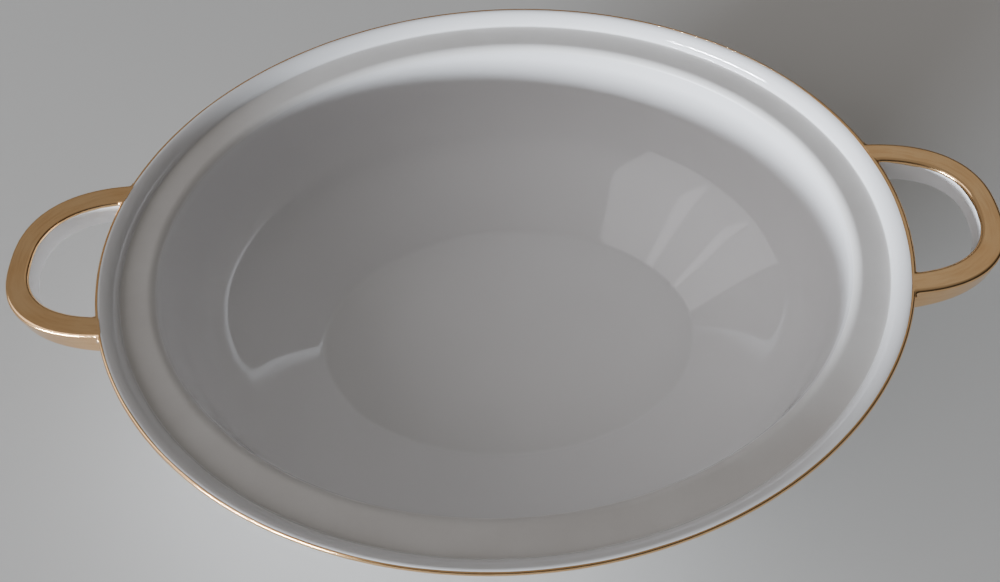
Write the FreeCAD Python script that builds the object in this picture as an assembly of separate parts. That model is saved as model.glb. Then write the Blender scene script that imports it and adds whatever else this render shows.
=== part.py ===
import FreeCAD, Part
import math
import os

# Oval porcelain serving bowl: the base of a covered dish, with two D-shaped loop handles.
# The row frame has +X along the long axis, +Y away from the user and +Z up. The origin is
# at the middle of the table plane that the foot ring stands on. All sizes are in mm.
# Oval sizes are given as (half length along X, half width along Y).

RIM_TOP = 84.0                  # height of the rim's crest
RIM = (137.7, 109.15)           # widest oval, on the rim's outer side
RIM_ROUND = 1.2                 # rounding of the rim's outer top edge
RIM_SIDE_LOW = 81.8             # the narrow upright outer side of the rim starts here

LEDGE = 78.7                    # height of the flat lid seat
LEDGE_OUTER = (131.3, 104.0)    # where the glazed lip rises from the seat
LEDGE_MOUTH = (119.4, 91.7)     # where the bowl's wall would meet the seat if left sharp
LEDGE_ROUND = 3.0               # rounding between the seat and the wall
LIP_CREST = (136.2, 107.7)      # inner limit of the crest
LIP_ROUND = 1.7                 # power of the lip's section: 1 is a slope, 2 a quarter ellipse

FLOOR = 8.3                     # height of the bowl's inside floor
FLOOR_OVAL = (76.3, 50.7)       # crease where the wall leaves the floor
WALL_LOW_SLOPE = 38.0           # degrees: the wall leaves the crease as a cone
WALL_HIGH_SLOPE = 84.0          # degrees: its upper part is nearly upright
WALL_BEND = (0.34, 0.76)        # the shares of its length where it starts and stops bending

UNDERSIDE = 4.0                 # height of the body's flat underside
UNDERSIDE_OVAL = (77.8, 52.2)
OUTER_MOUTH = (124.0, 96.3)     # where the outer wall would meet the seat's height unflared
WALL_STEPS = 16                 # ovals up each wall
FLARE_FROM = 13                 # the outer wall swings out to the rim above this many steps
FLARE_STEPS = 5
FLARE_SLOPES = (0.14, 0.65)     # share of the swing per share of the rise, at the wall and at the rim

FOOT_ATTACH = ((77.0, 51.4), (70.4, 44.8))      # outer and inner oval under the body
FOOT_STAND = ((75.6, 50.0), (71.8, 46.2))       # outer and inner oval on the table
FOOT_ROUND = 0.7

HANDLE_ROOT = 128.0             # the plan curves of a handle start this far out, inside the rim
HANDLE_OUTER = (41.2, 30.2)     # reach past the root and half width of the outer curve
HANDLE_INNER = (33.8, 22.7)     # the same for the finger gap
HANDLE_SQUARE = 2.45            # superellipse power: 2 is an ellipse, larger is squarer
HANDLE_ROOT_DEPTH = 14.2        # strap height against the rim
HANDLE_TIP_DEPTH = 9.7          # strap height at the tip
HANDLE_MIDDLE = (22.0, 11.6)    # distance past the root and strap height halfway between the two
HANDLE_ROUND = 1.3              # rounding along the strap's edges
HANDLE_ROUND_UNDER = 2.6        # larger rounding along its outer lower edge
HANDLE_SHIFT_LEFT = -0.6        # each handle was luted on slightly off the long axis
HANDLE_SHIFT_RIGHT = 2.2

GOLD = 0.15                     # modelled thickness of the fired gold
GOLD_RIM_LOW = 81.9             # lower limit of the gold line on the rim's outer side
GOLD_RIM_INSET = 0.75           # how far the line reaches in over the crest
GOLD_HANDLE_INSET = 1.0         # the gold stops this far from the white inner side of the strap


def oval(size, z):
    """An elliptical wire, long axis on X, at height z."""
    curve = Part.Ellipse(FreeCAD.Vector(0, 0, z), size[0], size[1])
    return Part.Wire([curve.toShape()])


def oval_prism(size, low, high):
    """An upright elliptical plug."""
    return Part.Face(oval(size, low)).extrude(FreeCAD.Vector(0, 0, high - low))


def oval_loft(levels, ruled=False):
    """A solid through ovals given as (size, height), from the lowest up."""
    return Part.makeLoft([oval(size, z) for size, z in levels], True, ruled)


def between(small, large, share):
    """The oval a given share of the way from small to large."""
    return tuple(s + (l - s) * share for s, l in zip(small, large))


def wall_shares():
    """How far out and up a wall has gone at even steps along it, as shares of its width and height."""
    fine = 8
    outs = [0.0]
    ups = [0.0]
    for i in range(WALL_STEPS * fine):
        share = (i + 0.5) / (WALL_STEPS * fine)
        bend = min(max((share - WALL_BEND[0]) / (WALL_BEND[1] - WALL_BEND[0]), 0.0), 1.0)
        eased = 3 * bend ** 2 - 2 * bend ** 3
        slope = math.radians(WALL_LOW_SLOPE + (WALL_HIGH_SLOPE - WALL_LOW_SLOPE) * eased)
        outs.append(outs[-1] + math.cos(slope))
        ups.append(ups[-1] + math.sin(slope))
    return [(out / outs[-1], up / ups[-1]) for out, up in zip(outs[::fine], ups[::fine])]


def wall_levels(low, low_oval, high_oval):
    """Ovals up a bowl wall from the height low to the seat's height."""
    return [(between(low_oval, high_oval, out), low + (LEDGE - low) * up) for out, up in wall_shares()]


def flare_levels(shoulder_oval, shoulder):
    """Ovals of the outer wall where it swings out from its shoulder to the rim's side."""
    levels = []
    for i in range(1, FLARE_STEPS + 1):
        share = i / FLARE_STEPS
        swing = 3 * share ** 2 - 2 * share ** 3
        swing += FLARE_SLOPES[0] * share * (1 - share) ** 2 - FLARE_SLOPES[1] * share ** 2 * (1 - share)
        height = shoulder + (RIM_SIDE_LOW - shoulder) * share
        levels.append((between(shoulder_oval, RIM, swing), height))
    return levels


def lip_levels():
    """Ovals of the glazed lip, rising steeply from the seat and rounding over to the crest."""
    levels = []
    for i in range(9):
        angle = math.radians(90.0 * i / 8)
        out = 1.0 - max(math.cos(angle), 0.0) ** (2 / LIP_ROUND)
        up = math.sin(angle) ** (2 / LIP_ROUND)
        levels.append((between(LEDGE_OUTER, LIP_CREST, out), LEDGE + (RIM_TOP - LEDGE) * up))
    return levels


def outer_form():
    """The body's outside as a filled form, without its rounded rim."""
    wall = wall_levels(UNDERSIDE, UNDERSIDE_OVAL, OUTER_MOUTH)[:FLARE_FROM + 1]
    skirt = oval_loft(wall + flare_levels(*wall[-1]))
    return skirt.fuse(oval_prism(RIM, RIM_SIDE_LOW, RIM_TOP)).removeSplitter()


def edges_at(shape, half_length, z):
    """The edges of the level oval that has the given half length and height."""
    found = []
    for edge in shape.Edges:
        box = edge.BoundBox
        if abs(box.ZMin - z) < 0.01 and abs(box.ZMax - z) < 0.01 and abs(box.XMax - half_length) < 0.02:
            found.append(edge)
    return found


def bowl_body():
    """The slip-cast body: floor, wall, flat lid seat and glazed lip in one piece of porcelain."""
    cavity = oval_loft(wall_levels(FLOOR, FLOOR_OVAL, LEDGE_MOUTH))
    lip = oval_loft(lip_levels())
    body = outer_form().cut(cavity).cut(lip)
    body = body.makeFillet(LEDGE_ROUND, edges_at(body, LEDGE_MOUTH[0], LEDGE))
    return body.makeFillet(RIM_ROUND, edges_at(body, RIM[0], RIM_TOP))


def foot_ring():
    """The low oval ring that the bowl stands on, narrower at the table than at the body."""
    outer = oval_loft([(FOOT_STAND[0], 0.0), (FOOT_ATTACH[0], UNDERSIDE)], ruled=True)
    inner = oval_loft([(FOOT_STAND[1], 0.0), (FOOT_ATTACH[1], UNDERSIDE)], ruled=True)
    ring = outer.cut(inner)
    stand = edges_at(ring, FOOT_STAND[0][0], 0.0) + edges_at(ring, FOOT_STAND[1][0], 0.0)
    return ring.makeFillet(FOOT_ROUND, stand)


def plan_curve(reach, half_width):
    """Plan outline of a right-hand handle curve: a D that starts and ends square to the rim."""
    points = []
    for i in range(17):
        angle = math.pi * (i / 16 - 0.5)
        x = HANDLE_ROOT + reach * math.cos(angle) ** (2 / HANDLE_SQUARE)
        side = math.copysign(abs(math.sin(angle)) ** (2 / HANDLE_SQUARE), angle)
        points.append(FreeCAD.Vector(x, half_width * side, 0))
    curve = Part.BSplineCurve()
    curve.interpolate(points)
    return curve.toShape()


def plan_prism(reach, half_width):
    """The D outline closed behind the rim and raised through the handle's whole height."""
    curve = plan_curve(reach, half_width)
    back = FreeCAD.Vector(-20, 0, 0)
    start = curve.valueAt(curve.FirstParameter)
    end = curve.valueAt(curve.LastParameter)
    closing = Part.makePolygon([end, end + back, start + back, start])
    face = Part.Face(Part.Wire([curve] + closing.Edges))
    face.translate(FreeCAD.Vector(0, 0, RIM_TOP - 30))
    return face.extrude(FreeCAD.Vector(0, 0, 60))


def side_slab(extra):
    """Side view of the handle raised across its width: flat on top, its underside sweeping up."""
    tip = HANDLE_ROOT + HANDLE_OUTER[0]
    top = RIM_TOP + extra
    root_low = FreeCAD.Vector(HANDLE_ROOT, -60, RIM_TOP - HANDLE_ROOT_DEPTH - extra)
    middle_low = FreeCAD.Vector(HANDLE_ROOT + HANDLE_MIDDLE[0], -60, RIM_TOP - HANDLE_MIDDLE[1] - extra)
    tip_low = FreeCAD.Vector(tip + 1, -60, RIM_TOP - HANDLE_TIP_DEPTH - extra)
    under = Part.Arc(root_low, middle_low, tip_low).toShape()
    back_low = root_low + FreeCAD.Vector(-20, 0, 0)
    back_top = FreeCAD.Vector(back_low.x, -60, top)
    tip_top = FreeCAD.Vector(tip_low.x, -60, top)
    outline = Part.makePolygon([tip_low, tip_top, back_top, back_low, root_low])
    return Part.Face(Part.Wire([under] + outline.Edges)).extrude(FreeCAD.Vector(0, 120, 0))


def long_edge(shape, half_width, low):
    """The strap's long edge, low or high, along the plan curve that has a given half width."""
    found = []
    for edge in shape.Edges:
        box = edge.BoundBox
        if box.XLength > 20 and box.YLength > half_width and abs(box.YMax - half_width) < 0.3:
            if (box.ZMin < RIM_TOP - HANDLE_TIP_DEPTH + 1) == low:
                found.append(edge)
    return found


def handle_blank():
    """One right-hand strap before it is fitted to the body, rounded along its long edges."""
    plan = plan_prism(*HANDLE_OUTER).cut(plan_prism(*HANDLE_INNER))
    strap = plan.common(side_slab(0.0))
    for width in (HANDLE_INNER[1], HANDLE_OUTER[1]):
        strap = strap.makeFillet(HANDLE_ROUND, long_edge(strap, width, False))
    strap = strap.makeFillet(HANDLE_ROUND, long_edge(strap, HANDLE_INNER[1], True))
    return strap.makeFillet(HANDLE_ROUND_UNDER, long_edge(strap, HANDLE_OUTER[1], True))


def gold_blank():
    """The strap's gilded envelope: its top, outer side and underside, but not its inner side."""
    outer = tuple(value + GOLD for value in HANDLE_OUTER)
    inner = tuple(value + GOLD_HANDLE_INSET for value in HANDLE_INNER)
    envelope = plan_prism(*outer).common(side_slab(GOLD))
    envelope = envelope.makeFillet(HANDLE_ROUND + GOLD, long_edge(envelope, outer[1], False))
    envelope = envelope.makeFillet(HANDLE_ROUND_UNDER + GOLD, long_edge(envelope, outer[1], True))
    return envelope.cut(plan_prism(*inner)).cut(handle_blank())


def fitted(blank, shift, left):
    """A right-hand blank moved to its place and trimmed against the body's outside."""
    shape = blank.copy()
    if left:
        shape = shape.mirror(FreeCAD.Vector(0, 0, 0), FreeCAD.Vector(1, 0, 0))
    shape.translate(FreeCAD.Vector(0, shift, 0))
    return shape.cut(outer_form().fuse(oval_prism(RIM, RIM_SIDE_LOW, RIM_TOP + 5)))


def rim_gilding(handles):
    """The thin gold line over the rim's rounded outer edge, broken where the handles join."""
    outside = tuple(value + GOLD for value in RIM)
    inside = tuple(value - GOLD_RIM_INSET for value in RIM)
    band = oval_prism(outside, GOLD_RIM_LOW, RIM_TOP + GOLD)
    band = band.makeFillet(RIM_ROUND + GOLD, edges_at(band, outside[0], RIM_TOP + GOLD))
    plug = oval_prism(RIM, GOLD_RIM_LOW - 1, RIM_TOP)
    plug = plug.makeFillet(RIM_ROUND, edges_at(plug, RIM[0], RIM_TOP))
    band = band.cut(plug).cut(oval_prism(inside, GOLD_RIM_LOW - 1, RIM_TOP + 1))
    for handle in handles:
        band = band.cut(handle)
    return band


def save(node, shape):
    """Write one sub-part as parts/NODE.step."""
    solids = shape.Solids
    result = solids[0] if len(solids) == 1 else Part.makeCompound(solids)
    result.exportStep("parts/" + node + ".step")
    volume = round(result.Volume / 1000, 3)
    print(node, "solids", len(solids), "valid", result.isValid(), "volume cm3", volume)


os.makedirs("parts", exist_ok=True)
strap = handle_blank()
skin = gold_blank()
handle_left = fitted(strap, HANDLE_SHIFT_LEFT, True)
handle_right = fitted(strap, HANDLE_SHIFT_RIGHT, False)
gold_left = fitted(skin, HANDLE_SHIFT_LEFT, True)
gold_right = fitted(skin, HANDLE_SHIFT_RIGHT, False)
save("bowl_body", bowl_body())
save("foot_ring", foot_ring())
save("handle_left", handle_left)
save("handle_right", handle_right)
save("handle_gilding_left", gold_left)
save("handle_gilding_right", gold_right)
save("rim_gilding", rim_gilding((handle_left, handle_right, gold_left, gold_right)))
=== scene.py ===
import math

import bpy
from mathutils import Matrix, Vector, noise


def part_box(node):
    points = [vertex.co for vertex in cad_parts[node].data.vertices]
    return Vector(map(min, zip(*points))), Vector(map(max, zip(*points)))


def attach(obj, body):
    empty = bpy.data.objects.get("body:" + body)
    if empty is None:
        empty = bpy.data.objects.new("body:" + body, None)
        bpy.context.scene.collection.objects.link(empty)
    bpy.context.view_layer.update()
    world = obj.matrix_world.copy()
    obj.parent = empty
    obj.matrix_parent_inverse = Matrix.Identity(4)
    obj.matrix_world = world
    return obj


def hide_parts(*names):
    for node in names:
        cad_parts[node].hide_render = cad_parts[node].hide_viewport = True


# Looks for the oval porcelain serving bowl, the base of a covered dish with two gilded handles.
# Metres, +X along the long axis, +Y away from the user, +Z up, origin on the table under the bowl.
# Ovals are written (half length along X, half width along Y), as in the CAD.

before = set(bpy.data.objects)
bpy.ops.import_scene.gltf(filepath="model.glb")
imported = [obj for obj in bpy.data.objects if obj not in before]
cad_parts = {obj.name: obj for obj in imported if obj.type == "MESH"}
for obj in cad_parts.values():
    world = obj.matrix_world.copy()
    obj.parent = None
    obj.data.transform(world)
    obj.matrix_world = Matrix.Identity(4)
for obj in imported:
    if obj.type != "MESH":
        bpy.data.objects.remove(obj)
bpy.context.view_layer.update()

# ---------------------------------------------------------------- dimensions
body_low, body_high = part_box("bowl_body")
RIM = (body_high.x, body_high.y)
RIM_TOP = body_high.z
RIM_ROUND = 0.0012              # rounding of the rim's outer top edge
RIM_SIDE_LOW = RIM_TOP - 0.0022 # the rim's narrow upright outer side starts here
LEDGE = RIM_TOP - 0.0053        # height of the flat lid seat
LEDGE_OUTER = (RIM[0] - 0.0064, RIM[1] - 0.00515)
LEDGE_MOUTH = (RIM[0] - 0.0183, RIM[1] - 0.01745)
LEDGE_ROUND = 0.003             # rounding between the seat and the inside wall
LIP_CREST = (RIM[0] - 0.0015, RIM[1] - 0.00145)
LIP_ROUND = 1.7                 # power of the lip's section: 1 is a slope, 2 a quarter ellipse
LIP_FOOT = 0.0005               # radius of the small hollow between the lip and the seat
FLOOR = 0.0083
FLOOR_OVAL = (0.0763, 0.0507)   # crease where the wall leaves the floor
FOOT_HOLLOW = 0.003             # radius of the hollow between the wall's foot and the floor
FOOT_HOLLOW_STEEP = math.radians(46)
WALL_LOW_SLOPE = math.radians(38)
WALL_HIGH_SLOPE = math.radians(84)
WALL_BEND = (0.34, 0.76)        # the shares of its length where a wall starts and stops bending
WALL_STEPS = 64                 # mesh steps up a wall
UNDERSIDE = body_low.z
UNDERSIDE_OVAL = (0.0778, 0.0522)
OUTER_MOUTH = (0.1240, 0.0963)  # where the outer wall would meet the seat's height unflared
FLARE_START = 13 / 16           # share of the outer wall's length where the flare to the rim begins
FLARE_SLOPES = (0.14, 0.65)     # share of the swing per share of the rise, at its two ends
FLARE_STEPS = 24

FOOT_ATTACH = ((0.0770, 0.0514), (0.0704, 0.0448))      # outer and inner oval under the body
FOOT_STAND = ((0.0756, 0.0500), (0.0718, 0.0462))       # outer and inner oval on the table
FOOT_ROUND = 0.0008

HANDLE_ROOT = 0.128             # a handle's plan curves start this far out, inside the rim
HANDLE_OUTER = (0.0412, 0.0302) # reach past the root and half width of the outer curve
HANDLE_INNER = (0.0338, 0.0227) # the same for the finger gap
HANDLE_SQUARE = 2.45            # superellipse power: 2 is an ellipse, larger is squarer
HANDLE_ROOT_DEPTH = 0.0142
HANDLE_TIP_DEPTH = 0.0097
HANDLE_SWEEP = 1.6              # power of the underside's rise from a root to the tip
HANDLE_ROUND = 0.0013           # rounding along the strap's edges
HANDLE_ROUND_UNDER = 0.0026     # larger rounding along its outer lower edge
HANDLE_SHIFT = {"left": -0.0006, "right": 0.0022}
ROOT_FILLET = 0.0014            # hollow where a handle's porcelain swells into the rim
ROOT_SUNK = 0.0002              # a handle's ends lie this far inside the body

GOLD = 0.00012                  # thickness of the gold skins
GOLD_SUNK = -0.00004            # their inner side lies this far inside the porcelain
GOLD_THIN = 0.15                # share of the thickness left at their edges
GOLD_TOP_DROP = 0.0002          # the gold starts this far below a handle's rounded top inner edge
GOLD_WHITE_GAP = 0.0013         # white left between a handle's inner lower corner and its gold
GOLD_WRAP = 0.0038              # the gold runs this much further round the left handle's far root
RIM_GOLD_DROP = 0.00095         # how far the rim's gold line reaches down the rim's side
RIM_GOLD_WIDE = 0.0008          # its extra width between the right handle's arms
RIM_GOLD_RIGHT = (0.12, 0.5)    # radians round the rim: middle and half length of that stretch
RIM_GOLD_NEAR = 0.26            # share by which it reaches less far in at the near side
GOLD_WANDER_TOP = 0.0006        # how far the hand-painted edges of the handles' gold wander
GOLD_WANDER_LOW = 0.0008

AROUND = 640                    # mesh steps round the bowl
ALONG = 220                     # mesh steps along a handle
ROOT_STEPS = 12                 # of which this many fit each root to the body
STRAP_LINES = 96                # mesh lines round a strap's section
GOLD_LINES = 84                 # mesh lines across a handle's gold
RIM_GOLD_LINES = 14             # mesh lines across the rim's gold line
RIM_GOLD_AROUND = 1280          # mesh steps round it

FLOOR_HALF = 8.0                # half the width of the studio floor
PANEL_DISTANCE = 6.0            # distance from the bowl to the lights
PANEL_AIM = Vector((0, 0, 0.06))        # the point in the bowl that they face
LOW_LIGHTS = ((214, 6), (220, 5), (227, 8), (234, 3))   # azimuth and width in degrees
LOW_ELEVATION = 5.2             # degrees, as are all the angles of the lights
LOW_TALL = 3.7
LOW_BRIGHTNESS = 370
WINDOW_AZIMUTHS = (178, 200.5, 223)
WINDOW_ELEVATION = 32
WINDOW_SIZE = (21.5, 32)        # width and height of one pane
WINDOW_BRIGHTNESS = 1.3
CORNER_AZIMUTH = 47             # a faint bright corner of the room, at the far right
CORNER_ELEVATION = 50
CORNER_SIZE = (44, 26)
CORNER_BRIGHTNESS = 0.11
ROOM_LEAN = (-0.25, 0.15, 0.94) # the direction in which the room is brightest
ROOM_LOW = 0.03                 # brightness of the room near the horizon
ROOM_HIGH = 0.265               # and overhead

CAMERA_PLACE = Vector((0.0077, -0.1667, 0.3529))
CAMERA_RIGHT = Vector((0.99865, -0.02655, -0.04467))
CAMERA_FORWARD = Vector((-0.02249, 0.55421, -0.83207))
CAMERA_LENS = 33.447            # mm, on a sensor 36 mm wide
CAMERA_SHIFT = -0.084           # the photograph is cropped off its own centre


# ---------------------------------------------------------------- mesh helpers
def new_piece(name, verts, faces, material, bare=None, uvs=None):
    """A smooth-shaded mesh object, with how bare of glaze each vertex is and its UV pair, if given."""
    mesh = bpy.data.meshes.new(name)
    mesh.from_pydata(verts, [], faces)
    mesh.materials.append(material)
    if bare:
        mesh.attributes.new("bare", "FLOAT", "POINT").data.foreach_set("value", bare)
    if uvs:
        layer = mesh.uv_layers.new(name="along_across")
        for loop in mesh.loops:
            layer.data[loop.index].uv = uvs[loop.vertex_index]
    mesh.shade_smooth()
    mesh.update()
    piece = bpy.data.objects.new(name, mesh)
    bpy.context.collection.objects.link(piece)
    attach(piece, "root")
    return piece


def shifted(size, amount):
    """An oval grown or shrunk by the same distance all round."""
    return (size[0] + amount, size[1] + amount)


def between(small, large, share):
    """The oval a given share of the way from small to large."""
    return (small[0] + (large[0] - small[0]) * share, small[1] + (large[1] - small[1]) * share)


def ring_grid(stations, closed_profile):
    """Vertices and quads of ovals stacked along a profile, joined round and along it."""
    verts = []
    for size, z in stations:
        for i in range(AROUND):
            angle = 2 * math.pi * i / AROUND
            verts.append((size[0] * math.cos(angle), size[1] * math.sin(angle), z))
    rows = len(stations)
    faces = []
    for row in range(rows if closed_profile else rows - 1):
        low = row * AROUND
        high = (row + 1) % rows * AROUND
        for i in range(AROUND):
            j = (i + 1) % AROUND
            faces.append((low + i, low + j, high + j, high + i))
    return verts, faces


# ---------------------------------------------------------------- bowl profile
def wall_shares():
    """How far out and up a wall has gone at even steps along it, as shares of its width and height."""
    fine = 8                    # sums for each step
    outs = [0.0]
    ups = [0.0]
    for i in range(WALL_STEPS * fine):
        share = (i + 0.5) / (WALL_STEPS * fine)
        bend = min(max((share - WALL_BEND[0]) / (WALL_BEND[1] - WALL_BEND[0]), 0), 1)
        eased = 3 * bend ** 2 - 2 * bend ** 3
        slope = WALL_LOW_SLOPE + (WALL_HIGH_SLOPE - WALL_LOW_SLOPE) * eased
        outs.append(outs[-1] + math.cos(slope))
        ups.append(ups[-1] + math.sin(slope))
    return [(out / outs[-1], up / ups[-1]) for out, up in zip(outs[::fine], ups[::fine])]


def inner_wall():
    """Stations down the inside wall, from the ledge's rounding to the floor crease."""
    stations = []
    clear_of_rounding = LEDGE - LEDGE_ROUND - 0.001
    for out, up in wall_shares()[::-1]:
        z = FLOOR + (LEDGE - FLOOR) * up
        if z < clear_of_rounding:
            stations.append((between(FLOOR_OVAL, LEDGE_MOUTH, out), z))
    return stations


def outer_wall():
    """Stations up the outside: wall, then the flare that swings out to the rim's side."""
    stations = []
    for out, up in wall_shares()[:round(FLARE_START * WALL_STEPS) + 1]:
        z = UNDERSIDE + (LEDGE - UNDERSIDE) * up
        stations.append((between(UNDERSIDE_OVAL, OUTER_MOUTH, out), z))
    shoulder_oval, shoulder = stations[-1]
    for i in range(1, FLARE_STEPS + 1):
        share = i / FLARE_STEPS
        swing = 3 * share ** 2 - 2 * share ** 3
        swing += FLARE_SLOPES[0] * share * (1 - share) ** 2 - FLARE_SLOPES[1] * share ** 2 * (1 - share)
        z = shoulder + (RIM_SIDE_LOW - shoulder) * share
        stations.append((between(shoulder_oval, RIM, swing), z))
    return stations


def rim_rounding(steps):
    """Stations round the rim's outer top edge, from its upright side to the crest."""
    stations = []
    for i in range(steps + 1):
        angle = math.pi / 2 * i / steps
        size = shifted(RIM, -RIM_ROUND + RIM_ROUND * math.cos(angle))
        stations.append((size, RIM_TOP - RIM_ROUND + RIM_ROUND * math.sin(angle)))
    return stations


def lip():
    """Stations down the glazed lip, from the crest to the small hollow where it meets the ledge."""
    stations = []
    low = LEDGE + LIP_FOOT
    for i in range(29):
        angle = math.pi / 2 * (1 - i / 28)
        out = 1 - max(math.cos(angle), 0) ** (2 / LIP_ROUND)
        z = low + (RIM_TOP - low) * math.sin(angle) ** (2 / LIP_ROUND)
        stations.append((between(LEDGE_OUTER, LIP_CREST, out), z))
    for angle in (20, 45, 70, 90):
        turn = math.radians(angle)
        size = shifted(LEDGE_OUTER, LIP_FOOT * (math.cos(turn) - 1))
        stations.append((size, low - LIP_FOOT * math.sin(turn)))
    return stations


def ledge():
    """Stations across the flat lid seat to where it starts to round over."""
    seat_out = shifted(LEDGE_OUTER, -LIP_FOOT)
    seat_in = shifted(LEDGE_MOUTH, LEDGE_ROUND)
    return [(between(seat_out, seat_in, i / 12), LEDGE) for i in range(1, 13)]


def ledge_rounding():
    """Stations over the rounded edge between the seat and the inside wall."""
    stations = []
    for i in range(1, 15):
        angle = math.pi / 2 + WALL_HIGH_SLOPE * i / 14
        size = shifted(LEDGE_MOUTH, LEDGE_ROUND + LEDGE_ROUND * math.cos(angle))
        stations.append((size, LEDGE - LEDGE_ROUND + LEDGE_ROUND * math.sin(angle)))
    return stations


def floor_inside():
    """Stations down the small hollow at the wall's foot and across the floor to its middle."""
    stations = []
    low = FLOOR - FOOT_HOLLOW * (1 - math.cos(FOOT_HOLLOW_STEEP))
    for i in range(1, 13):
        angle = FOOT_HOLLOW_STEEP * (1 - i / 12)
        size = shifted(FLOOR_OVAL, FOOT_HOLLOW * (math.sin(angle) - math.sin(FOOT_HOLLOW_STEEP)))
        stations.append((size, low + FOOT_HOLLOW * (1 - math.cos(angle))))
    edge = stations[-1][0]
    for i in range(1, 24):
        stations.append(((edge[0] * (1 - i / 24), edge[1] * (1 - i / 24)), low))
    return stations


def underside():
    """Stations from the middle of the underside out to the outer wall."""
    stations = []
    for i in range(1, 12):
        share = i / 12
        stations.append(((UNDERSIDE_OVAL[0] * share, UNDERSIDE_OVAL[1] * share), UNDERSIDE))
    return stations


OUTER_WALL = outer_wall()


def outer_x(y, z):
    """How far out the body's outside is at a given y and height, on the long axis's side."""
    if z >= RIM_TOP - RIM_ROUND:
        rise = min(z, RIM_TOP) - (RIM_TOP - RIM_ROUND)
        size = shifted(RIM, math.sqrt(max(RIM_ROUND ** 2 - rise ** 2, 0)) - RIM_ROUND)
    else:
        size = RIM
        for (low_size, low_z), (high_size, high_z) in zip(OUTER_WALL, OUTER_WALL[1:]):
            if low_z <= z < high_z:
                size = between(low_size, high_size, (z - low_z) / (high_z - low_z))
    return size[0] * math.sqrt(max(1 - (y / size[1]) ** 2, 0))


def bowl_body(material):
    """The body as one closed skin.

    The lid seat is bare of glaze. The bare clay starts in the small hollow at the lip's foot and
    fades out over the last two fifths of the rounding between the seat and the wall."""
    glazed = underside() + outer_wall() + rim_rounding(10) + lip()
    seat = ledge()
    rounding = ledge_rounding()
    stations = glazed + seat + rounding + inner_wall() + floor_inside()
    shares = [0.0] * (len(glazed) - 3) + [0.3, 0.7, 1.0] + [1.0] * len(seat)
    shares += [min(1.0, 2.5 - 2.5 * (i + 1) / len(rounding)) for i in range(len(rounding))]
    shares += [0.0] * (len(stations) - len(shares))
    verts, faces = ring_grid(stations, False)
    for row in (0, len(stations) - 1):
        middle = len(verts)
        verts.append((0, 0, stations[row][1]))
        for i in range(AROUND):
            a = row * AROUND + i
            b = row * AROUND + (i + 1) % AROUND
            faces.append((middle, b, a) if row == 0 else (middle, a, b))
    bare = [share for share in shares for _ in range(AROUND)] + [0.0, 0.0]
    piece = new_piece("porcelain_body", verts, faces, material, bare=bare)
    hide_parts("bowl_body")
    return piece


def foot_ring(material):
    """The oval foot ring, tapering to the rounded edge it stands on."""
    stations = []
    outer_low, inner_low = FOOT_STAND
    for i in range(9):
        stations.append((between(FOOT_ATTACH[0], outer_low, i / 10), UNDERSIDE * (1 - i / 10)))
    for i in range(7):
        angle = math.radians(15 * i)
        size = shifted(outer_low, -FOOT_ROUND + FOOT_ROUND * math.cos(angle))
        stations.append((size, FOOT_ROUND - FOOT_ROUND * math.sin(angle)))
    for i in range(7):
        angle = math.radians(90 - 15 * i)
        size = shifted(inner_low, FOOT_ROUND - FOOT_ROUND * math.cos(angle))
        stations.append((size, FOOT_ROUND - FOOT_ROUND * math.sin(angle)))
    for i in range(2, 11):
        stations.append((between(inner_low, FOOT_ATTACH[1], i / 10), UNDERSIDE * i / 10))
    verts, faces = ring_grid(stations, True)
    bare = [1.0 if z < FOOT_ROUND else 0.0 for _, _, z in verts]
    piece = new_piece("foot_ring_porcelain", verts, [face[::-1] for face in faces], material, bare=bare)
    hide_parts("foot_ring")
    return piece


# ---------------------------------------------------------------- handles
def plan_point(size, turn):
    """A point on a handle's plan curve. The turn runs from -90 to 90 degrees, root to root."""
    x = HANDLE_ROOT + size[0] * max(math.cos(turn), 0) ** (2 / HANDLE_SQUARE)
    y = size[1] * math.copysign(abs(math.sin(turn)) ** (2 / HANDLE_SQUARE), turn)
    return Vector((x, y, 0))


def strap_bottom(x):
    """Height of the strap's underside, sweeping up from the roots to the tip."""
    tip = HANDLE_ROOT + HANDLE_OUTER[0]
    share = min(max((tip - x) / (tip - HANDLE_ROOT), 0), 1)
    return RIM_TOP - HANDLE_TIP_DEPTH - (HANDLE_ROOT_DEPTH - HANDLE_TIP_DEPTH) * share ** HANDLE_SWEEP


def section_point(width, height, s):
    """A point and its outward normal on the strap's rounded section, a distance s round it.

    The distance starts in the middle of the inner side and runs over the top, down the outer side
    and back under the strap. Points are (across from the inner side, up from the underside)."""
    r = HANDLE_ROUND
    under = HANDLE_ROUND_UNDER
    if s < height / 2 - r:
        return (0, height / 2 + s), (-1, 0)
    s -= height / 2 - r
    corners = (
        (r, height - r, r, width - 2 * r),
        (width - r, height - r, r, height - r - under),
        (width - under, under, under, width - under - r),
        (r, r, r, height / 2 - r),
    )
    for number, (x, y, radius, straight) in enumerate(corners):
        angle = math.pi * (1 - number / 2) - min(s / radius, math.pi / 2)
        beyond = max(s - math.pi / 2 * radius, 0)
        if beyond <= straight or number == 3:
            normal = (math.cos(angle), math.sin(angle))
            across = x + radius * normal[0] + beyond * normal[1]
            return (across, y + radius * normal[1] - beyond * normal[0]), normal
        s = beyond - straight


def section_length(width, height):
    """Distance all the way round the strap's section."""
    return 2 * (width + height) - (2 - math.pi / 2) * (3 * HANDLE_ROUND + HANDLE_ROUND_UNDER)


def strap_size(turn):
    """Inner and outer plan points, width and height of the strap's section at a turn."""
    inside = plan_point(HANDLE_INNER, turn)
    outside = plan_point(HANDLE_OUTER, turn)
    width = (outside - inside).length
    return inside, outside, width, RIM_TOP - strap_bottom((inside.x + outside.x) / 2)


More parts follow.
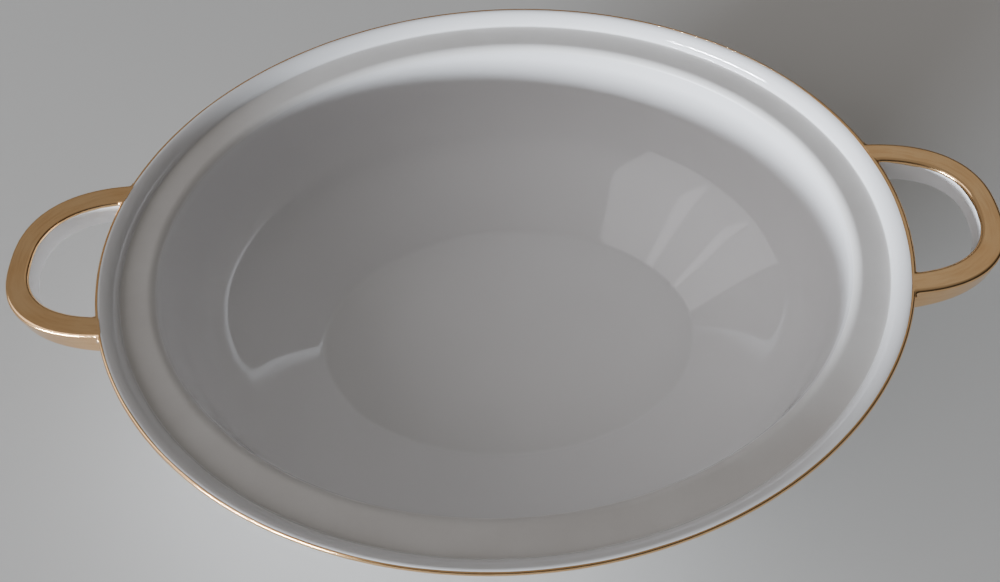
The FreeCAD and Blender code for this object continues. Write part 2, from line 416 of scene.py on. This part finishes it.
def strap_point(side, turn, s, lift):
    """A point on a handle: s round the section at a turn, raised off the porcelain by lift."""
    inside, outside, width, height = strap_size(turn)
    (across, up), (n_across, n_up) = section_point(width, height, s)
    direction = (outside - inside) / width
    point = inside + direction * (across + n_across * lift)
    point.z = RIM_TOP - height + up + n_up * lift
    point.y += HANDLE_SHIFT[side]
    gap = point.x - outer_x(point.y, point.z)
    if gap < ROOT_FILLET:
        share = 1 - max(gap, 0) / ROOT_FILLET
        flare = ROOT_FILLET * (1 - math.sqrt(1 - share ** 2))
        point += direction * n_across * flare
        point.z += min(n_up, 0) * flare
    return point


def root_turns(side, line):
    """The two turns between which a line along the strap is outside the body."""
    found = []
    for sign in (-1, 1):
        inner = 0.6             # radians: a turn that is always outside the body
        outer = math.pi / 2
        for _ in range(22):
            turn = sign * (inner + outer) / 2
            point = strap_point(side, turn, line(side, turn), 0)
            if point.x > outer_x(point.y, point.z) - ROOT_SUNK:
                inner = abs(turn)
            else:
                outer = abs(turn)
        found.append(sign * inner)
    return found


def even_turns(count):
    """The turns, from root to root, that give evenly spaced sections along the strap."""
    samples = [plan_point(HANDLE_OUTER, math.pi * (i / 2000 - 0.5)) for i in range(2001)]
    reach = [0]
    for a, b in zip(samples, samples[1:]):
        reach.append(reach[-1] + (b - a).length)
    turns = []
    i = 0
    for k in range(count + 1):
        while reach[i] < reach[-1] * k / count - 1e-12:
            i += 1
        turns.append(math.pi * (i / 2000 - 0.5))
    return turns


STRAP_TURNS = even_turns(ALONG)


def strap_grid(side, lines):
    """Rows of points along the handle, one row for each (line, lift).

    A line is a function of side and turn that tells how far round the section it runs."""
    sign = -1 if side == "left" else 1
    rows = []
    for line, lift in lines:
        low, high = root_turns(side, line)
        row = []
        for k in range(ALONG + 1):
            turn = min(max(STRAP_TURNS[k], low), high)
            if k < ROOT_STEPS:
                turn = low + (STRAP_TURNS[ROOT_STEPS] - low) * k / ROOT_STEPS
            if k > ALONG - ROOT_STEPS:
                turn = high - (high - STRAP_TURNS[-1 - ROOT_STEPS]) * (ALONG - k) / ROOT_STEPS
            point = strap_point(side, turn, line(side, turn), lift)
            row.append((sign * point.x, point.y, point.z))
        rows.append(row)
    return rows


def skin_from_rows(name, rows, material, flip):
    """A closed tube from rows that run along it, with both ends capped."""
    count = len(rows)
    length = len(rows[0])
    verts = [point for row in rows for point in row]
    uvs = [(k / (length - 1), r / count) for r in range(count) for k in range(length)]
    faces = []
    for r in range(count):
        a = r * length
        b = (r + 1) % count * length
        for k in range(length - 1):
            faces.append((a + k, b + k, b + k + 1, a + k + 1))
    half = count // 2
    for end in (0, length - 1):
        for r in range(half - 1):
            ring = (r, r + 1, count - 2 - r, count - 1 - r)
            face = tuple(index * length + end for index in ring)
            faces.append(face if end else face[::-1])
    if flip:
        faces = [face[::-1] for face in faces]
    return new_piece(name, verts, faces, material, uvs=uvs)


def porcelain_line(share):
    """A line that keeps the same share of the way round the strap's section."""
    def line(side, turn):
        _, _, width, height = strap_size(turn)
        return share * section_length(width, height)
    return line


def gold_edge(side, turn, seed, reach):
    """A hand-painted edge: it wanders by up to about reach as it runs round the handle."""
    place = Vector((turn * 2.6, seed, 5.0 if side == "left" else 9.0))
    return reach * (noise.noise(place) + 0.45 * noise.noise(place * 3.7))


def gold_line(share):
    """A line of the gold, a share of the way from its top inner limit to its limit under the strap."""
    def line(side, turn):
        _, _, width, height = strap_size(turn)
        start = height / 2 - HANDLE_ROUND - GOLD_TOP_DROP + gold_edge(side, turn, 1.3, GOLD_WANDER_TOP)
        corner = section_length(width, height) - height / 2 + HANDLE_ROUND * (1 - math.pi / 2)
        end = corner - GOLD_WHITE_GAP + gold_edge(side, turn, 7.9, GOLD_WANDER_LOW)
        if side == "left":
            end += GOLD_WRAP * min(max((turn - 1.0) / 0.35, 0), 1)
        return start + (end - start) * share
    return line


def handle(side, material):
    """The white porcelain strap of one handle."""
    lines = [(porcelain_line(r / STRAP_LINES), 0.0) for r in range(STRAP_LINES)]
    piece = skin_from_rows("handle_porcelain_" + side, strap_grid(side, lines), material, side == "right")
    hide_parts("handle_" + side)
    return piece


def handle_gilding(side, material):
    """The gold on a handle: from its top inner edge over the outer side and under the strap."""
    outside = []
    inside = []
    for i in range(GOLD_LINES + 1):
        share = i / GOLD_LINES
        edge = min(1, 6 * min(share, 1 - share))
        thickness = GOLD * (GOLD_THIN + (1 - GOLD_THIN) * math.sin(edge * math.pi / 2))
        outside.append((gold_line(share), thickness))
        inside.append((gold_line(share), GOLD_SUNK))
    rows = strap_grid(side, outside + inside[::-1])
    piece = skin_from_rows("handle_gold_" + side, rows, material, side == "right")
    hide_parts("handle_gilding_" + side)
    return piece


def right_end(angle):
    """1 between the right handle's arms, falling to 0 past them: the line was painted wider there."""
    middle, half = RIM_GOLD_RIGHT
    away = abs(math.atan2(math.sin(angle - middle), math.cos(angle - middle)))
    return max(0.0, 1 - (away / half) ** 2)


def rim_gold_limits(angle):
    """How far the line reaches down from the start of the rounding and over it, at an angle round
    the rim. Both wander slightly, and the line is narrower at the near side."""
    place = Vector((math.cos(angle), math.sin(angle), 0.0))
    drop = RIM_GOLD_DROP + 0.00008 * noise.noise(place * 5.1)
    near = max(-math.sin(angle), 0)
    reach = math.pi / 2 * RIM_ROUND * (1 - RIM_GOLD_NEAR * near ** 2) + RIM_GOLD_WIDE * right_end(angle)
    reach += 0.00015 * noise.noise(place * 6.3 + Vector((0, 0, 4)))
    return drop, reach


def rim_gold_point(angle, s, lift):
    """A point a distance s over the rim's rounding, raised off the porcelain by lift."""
    turn = min(max(s / RIM_ROUND, 0), math.pi / 2)
    inward = max(s - math.pi / 2 * RIM_ROUND, 0)
    size = shifted(RIM, -RIM_ROUND + (RIM_ROUND + lift) * math.cos(turn) - inward)
    z = RIM_TOP - RIM_ROUND + (RIM_ROUND + lift) * math.sin(turn) + min(s, 0)
    return (size[0] * math.cos(angle), size[1] * math.sin(angle), z)


def rim_gilding(material):
    """The gold line brushed over the rim's rounded edge, as a thin closed skin."""
    rows = [[] for _ in range(2 * RIM_GOLD_LINES)]
    length = RIM_GOLD_AROUND
    for i in range(length):
        angle = 2 * math.pi * i / length
        drop, reach = rim_gold_limits(angle)
        for k in range(RIM_GOLD_LINES):
            share = k / (RIM_GOLD_LINES - 1)
            s = -drop + (drop + reach) * share
            edge = min(1, 5 * min(share, 1 - share))
            rows[k].append(rim_gold_point(angle, s, GOLD * (GOLD_THIN + (1 - GOLD_THIN) * edge)))
            rows[-1 - k].append(rim_gold_point(angle, s, GOLD_SUNK))
    verts = [point for row in rows for point in row]
    uvs = [(k / length, r / len(rows)) for r in range(len(rows)) for k in range(length)]
    faces = []
    for r in range(len(rows)):
        a = r * length
        b = (r + 1) % len(rows) * length
        for k in range(length):
            faces.append((a + k, a + (k + 1) % length, b + (k + 1) % length, b + k))
    piece = new_piece("rim_gold_line", verts, faces, material, uvs=uvs)
    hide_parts("rim_gilding")
    return piece


# ---------------------------------------------------------------- materials
class Shader:
    """A short way to build a node material: add nodes, link sockets by name."""

    def __init__(self, name):
        self.material = bpy.data.materials.new(name)
        self.material.use_nodes = True
        self.nodes = self.material.node_tree.nodes
        self.links = self.material.node_tree.links
        self.bsdf = self.nodes["Principled BSDF"]

    def add(self, kind, settings=None, **inputs):
        """A node with its properties set and its inputs linked or filled in."""
        node = self.nodes.new(kind)
        for key, value in (settings or {}).items():
            setattr(node, key, value)
        for key, value in inputs.items():
            self.feed(node.inputs[key.replace("_", " ")], value)
        return node

    def feed(self, socket, value):
        """Links another node's output to a socket, or sets the socket to a constant."""
        if isinstance(value, bpy.types.NodeSocket):
            self.links.new(value, socket)
        else:
            socket.default_value = value

    def noise(self, scale, detail=2.0, rough=0.5, vector=None):
        """Fractal noise from 0 to 1, in object space unless another vector is given."""
        node = self.add("ShaderNodeTexNoise", Scale=scale, Detail=detail, Roughness=rough)
        self.feed(node.inputs["Vector"], vector or self.place())
        return node.outputs["Fac"]

    def place(self):
        """Object coordinates, in metres."""
        if not hasattr(self, "coordinates"):
            self.coordinates = self.add("ShaderNodeTexCoord")
        return self.coordinates.outputs["Object"]

    def spread(self, value, low, high, new_low, new_high):
        """Maps one range of values to another, clamped."""
        node = self.add(
            "ShaderNodeMapRange", Value=value, From_Min=low, From_Max=high, To_Min=new_low, To_Max=new_high
        )
        return node.outputs["Result"]

    def mix(self, share, first, second):
        """Blends two colours."""
        node = self.add("ShaderNodeMix", {"data_type": "RGBA"})
        self.feed(node.inputs["Factor"], share)
        for socket, value in ((node.inputs[6], first), (node.inputs[7], second)):
            self.feed(socket, value if isinstance(value, bpy.types.NodeSocket) else (*value, 1))
        return node.outputs[2]

    def bump(self, height, strength, distance, normal=None):
        """Surface relief from a height, on top of other relief if its normal is given."""
        node = self.add("ShaderNodeBump", Height=height, Strength=strength, Distance=distance)
        if normal:
            self.feed(node.inputs["Normal"], normal)
        return node.outputs["Normal"]

    def specks(self, scale, radius, share):
        """Sparse round specks: 1 inside a speck, in the given share of cells."""
        cells = self.add("ShaderNodeTexVoronoi", Vector=self.place(), Scale=scale)
        near = self.spread(cells.outputs["Distance"], radius * 0.5, radius, 1, 0)
        split = self.add("ShaderNodeSeparateColor", Color=cells.outputs["Color"])
        chosen = self.add("ShaderNodeMath", {"operation": "LESS_THAN"})
        self.feed(chosen.inputs[0], split.outputs["Red"])
        chosen.inputs[1].default_value = share
        both = self.add("ShaderNodeMath", {"operation": "MULTIPLY"})
        self.feed(both.inputs[0], near)
        self.feed(both.inputs[1], chosen.outputs[0])
        return both.outputs[0]

    def set(self, **values):
        """Fills the surface shader's own sockets."""
        for key, value in values.items():
            self.feed(self.bsdf.inputs[key.replace("_", " ")], value)


def porcelain_material():
    """White porcelain: clear glossy glaze, or matte, smudged and warm grey where it is bare."""
    m = Shader("white_porcelain")
    bare = m.add("ShaderNodeAttribute", {"attribute_name": "bare"}).outputs["Fac"]
    tint = m.spread(m.noise(14, 3), 0.35, 0.65, 0, 1)
    glaze = m.mix(tint, (0.79, 0.775, 0.77), (0.815, 0.80, 0.795))
    glaze = m.mix(m.specks(85, 0.05, 0.012), glaze, (0.35, 0.32, 0.28))
    grain = m.noise(1500, 3, 0.7)
    smudges = m.spread(m.noise(38, 5, 0.6), 0.35, 0.7, 0, 1)
    clay = m.mix(smudges, (0.75, 0.725, 0.695), (0.69, 0.66, 0.63))
    clay = m.mix(m.spread(grain, 0.6, 0.8, 0, 0.25), clay, (0.58, 0.55, 0.52))
    clay = m.mix(m.specks(110, 0.06, 0.015), clay, (0.24, 0.20, 0.17))
    waves = m.bump(m.noise(22, 2), 0.5, 0.0003)
    relief = m.bump(m.noise(300, 2), 0.05, 0.00004, waves)
    rough = m.spread(bare, 0, 1, 0.05, 0.68)
    m.set(Base_Color=m.mix(bare, glaze, clay), Roughness=rough, Normal=relief)
    m.bsdf.inputs["IOR"].default_value = 1.6
    return m.material


def gold_material():
    """Fired bright gold brushed on by hand: warm, satin bright, with faint streaks along the stroke."""
    m = Shader("fired_gold")
    coords = m.add("ShaderNodeTexCoord")
    stretch = m.add("ShaderNodeMapping", Vector=coords.outputs["UV"], Scale=(7, 30, 1))
    streaks = m.noise(1.0, 4, 0.6, stretch.outputs["Vector"])
    wear = m.spread(m.noise(60, 4, 0.6), 0.35, 0.7, 0, 1)
    colour = m.mix(wear, (0.95, 0.585, 0.28), (0.99, 0.65, 0.335))
    colour = m.mix(m.spread(streaks, 0.45, 0.75, 0, 0.5), colour, (0.74, 0.40, 0.17))
    rough = m.spread(streaks, 0.3, 0.7, 0.09, 0.19)
    uneven = m.bump(m.noise(110, 2), 0.45, 0.0002)
    relief = m.bump(streaks, 0.22, 0.00006, uneven)
    m.set(Base_Color=colour, Metallic=1.0, Roughness=rough, Normal=relief)
    return m.material


def floor_material():
    """A plain pale table top."""
    m = Shader("pale_floor")
    tone = m.spread(m.noise(3, 2), 0.3, 0.7, 0, 1)
    m.set(Base_Color=m.mix(tone, (0.63, 0.615, 0.59), (0.66, 0.645, 0.615)), Roughness=0.7)
    return m.material


# ---------------------------------------------------------------- studio
def floor():
    """A wide sheet under the bowl."""
    mesh = bpy.data.meshes.new("studio_floor")
    corners = [(x * FLOOR_HALF, y * FLOOR_HALF, 0) for x, y in ((-1, -1), (1, -1), (1, 1), (-1, 1))]
    mesh.from_pydata(corners, [], [(0, 1, 2, 3)])
    mesh.materials.append(floor_material())
    sheet = bpy.data.objects.new("studio_floor", mesh)
    bpy.context.collection.objects.link(sheet)


def soft_panel(name, azimuth, elevation, wide, tall, brightness, colour):
    """A rectangular light facing the bowl. Direction and size are degrees as seen from the bowl."""
    turn = math.radians(azimuth)
    rise = math.radians(elevation)
    direction = Vector((math.cos(rise) * math.cos(turn), math.cos(rise) * math.sin(turn), math.sin(rise)))
    data = bpy.data.lights.new(name, "AREA")
    data.shape = "RECTANGLE"
    data.size = 2 * PANEL_DISTANCE * math.tan(math.radians(wide / 2))
    data.size_y = 2 * PANEL_DISTANCE * math.tan(math.radians(tall / 2))
    data.energy = math.pi * data.size * data.size_y * brightness
    data.color = colour
    lamp = bpy.data.objects.new(name, data)
    lamp.location = PANEL_AIM + PANEL_DISTANCE * direction
    lamp.rotation_euler = (-direction).to_track_quat("-Z", "Y").to_euler()
    bpy.context.collection.objects.link(lamp)


def lights():
    """Low cool daylight in strips, a wide dim window above it, a faint bright corner and the room."""
    cool = (0.82, 0.90, 1.0)
    for number, (azimuth, wide) in enumerate(LOW_LIGHTS):
        name = "low_light_" + str(number)
        soft_panel(name, azimuth, LOW_ELEVATION, wide, LOW_TALL, LOW_BRIGHTNESS, cool)
    pale = (0.98, 0.96, 1.0)
    for number, azimuth in enumerate(WINDOW_AZIMUTHS):
        name = "window_" + str(number)
        soft_panel(name, azimuth, WINDOW_ELEVATION, *WINDOW_SIZE, WINDOW_BRIGHTNESS, pale)
    warm = (1.0, 0.97, 0.93)
    soft_panel("bright_corner", CORNER_AZIMUTH, CORNER_ELEVATION, *CORNER_SIZE, CORNER_BRIGHTNESS, warm)
    room()


def room():
    """A dim room: dark round the horizon, brighter overhead and a little to the far left of it."""
    world = bpy.data.worlds.new("dim_room")
    world.use_nodes = True
    nodes = world.node_tree.nodes
    links = world.node_tree.links
    lean = nodes.new("ShaderNodeVectorMath")
    lean.operation = "DOT_PRODUCT"
    links.new(nodes.new("ShaderNodeTexCoord").outputs["Generated"], lean.inputs[0])
    lean.inputs[1].default_value = ROOM_LEAN
    strength = nodes.new("ShaderNodeMapRange")
    strength.interpolation_type = "SMOOTHSTEP"
    links.new(lean.outputs["Value"], strength.inputs["Value"])
    limits = {"From Min": 0.05, "From Max": 0.8, "To Min": ROOM_LOW, "To Max": ROOM_HIGH}
    for key, number in limits.items():
        strength.inputs[key].default_value = number
    back = nodes["Background"]
    back.inputs["Color"].default_value = (1.0, 0.98, 0.955, 1)
    links.new(strength.outputs["Result"], back.inputs["Strength"])
    bpy.context.scene.world = world


def camera():
    """The photograph's viewpoint, above and in front."""
    data = bpy.data.cameras.new("camera")
    data.sensor_width = 36
    data.lens = CAMERA_LENS
    data.shift_y = CAMERA_SHIFT
    data.clip_start = 0.01
    view = bpy.data.objects.new("camera", data)
    right = CAMERA_RIGHT.normalized()
    forward = CAMERA_FORWARD.normalized()
    up = right.cross(forward)
    turn = Matrix((right, up, -forward)).transposed().to_4x4()
    view.matrix_world = Matrix.Translation(CAMERA_PLACE) @ turn
    bpy.context.collection.objects.link(view)
    bpy.context.scene.camera = view


porcelain = porcelain_material()
gold = gold_material()
bowl_body(porcelain)
foot_ring(porcelain)
for side in ("left", "right"):
    handle(side, porcelain)
    handle_gilding(side, gold)
rim_gilding(gold)
floor()
lights()
camera()
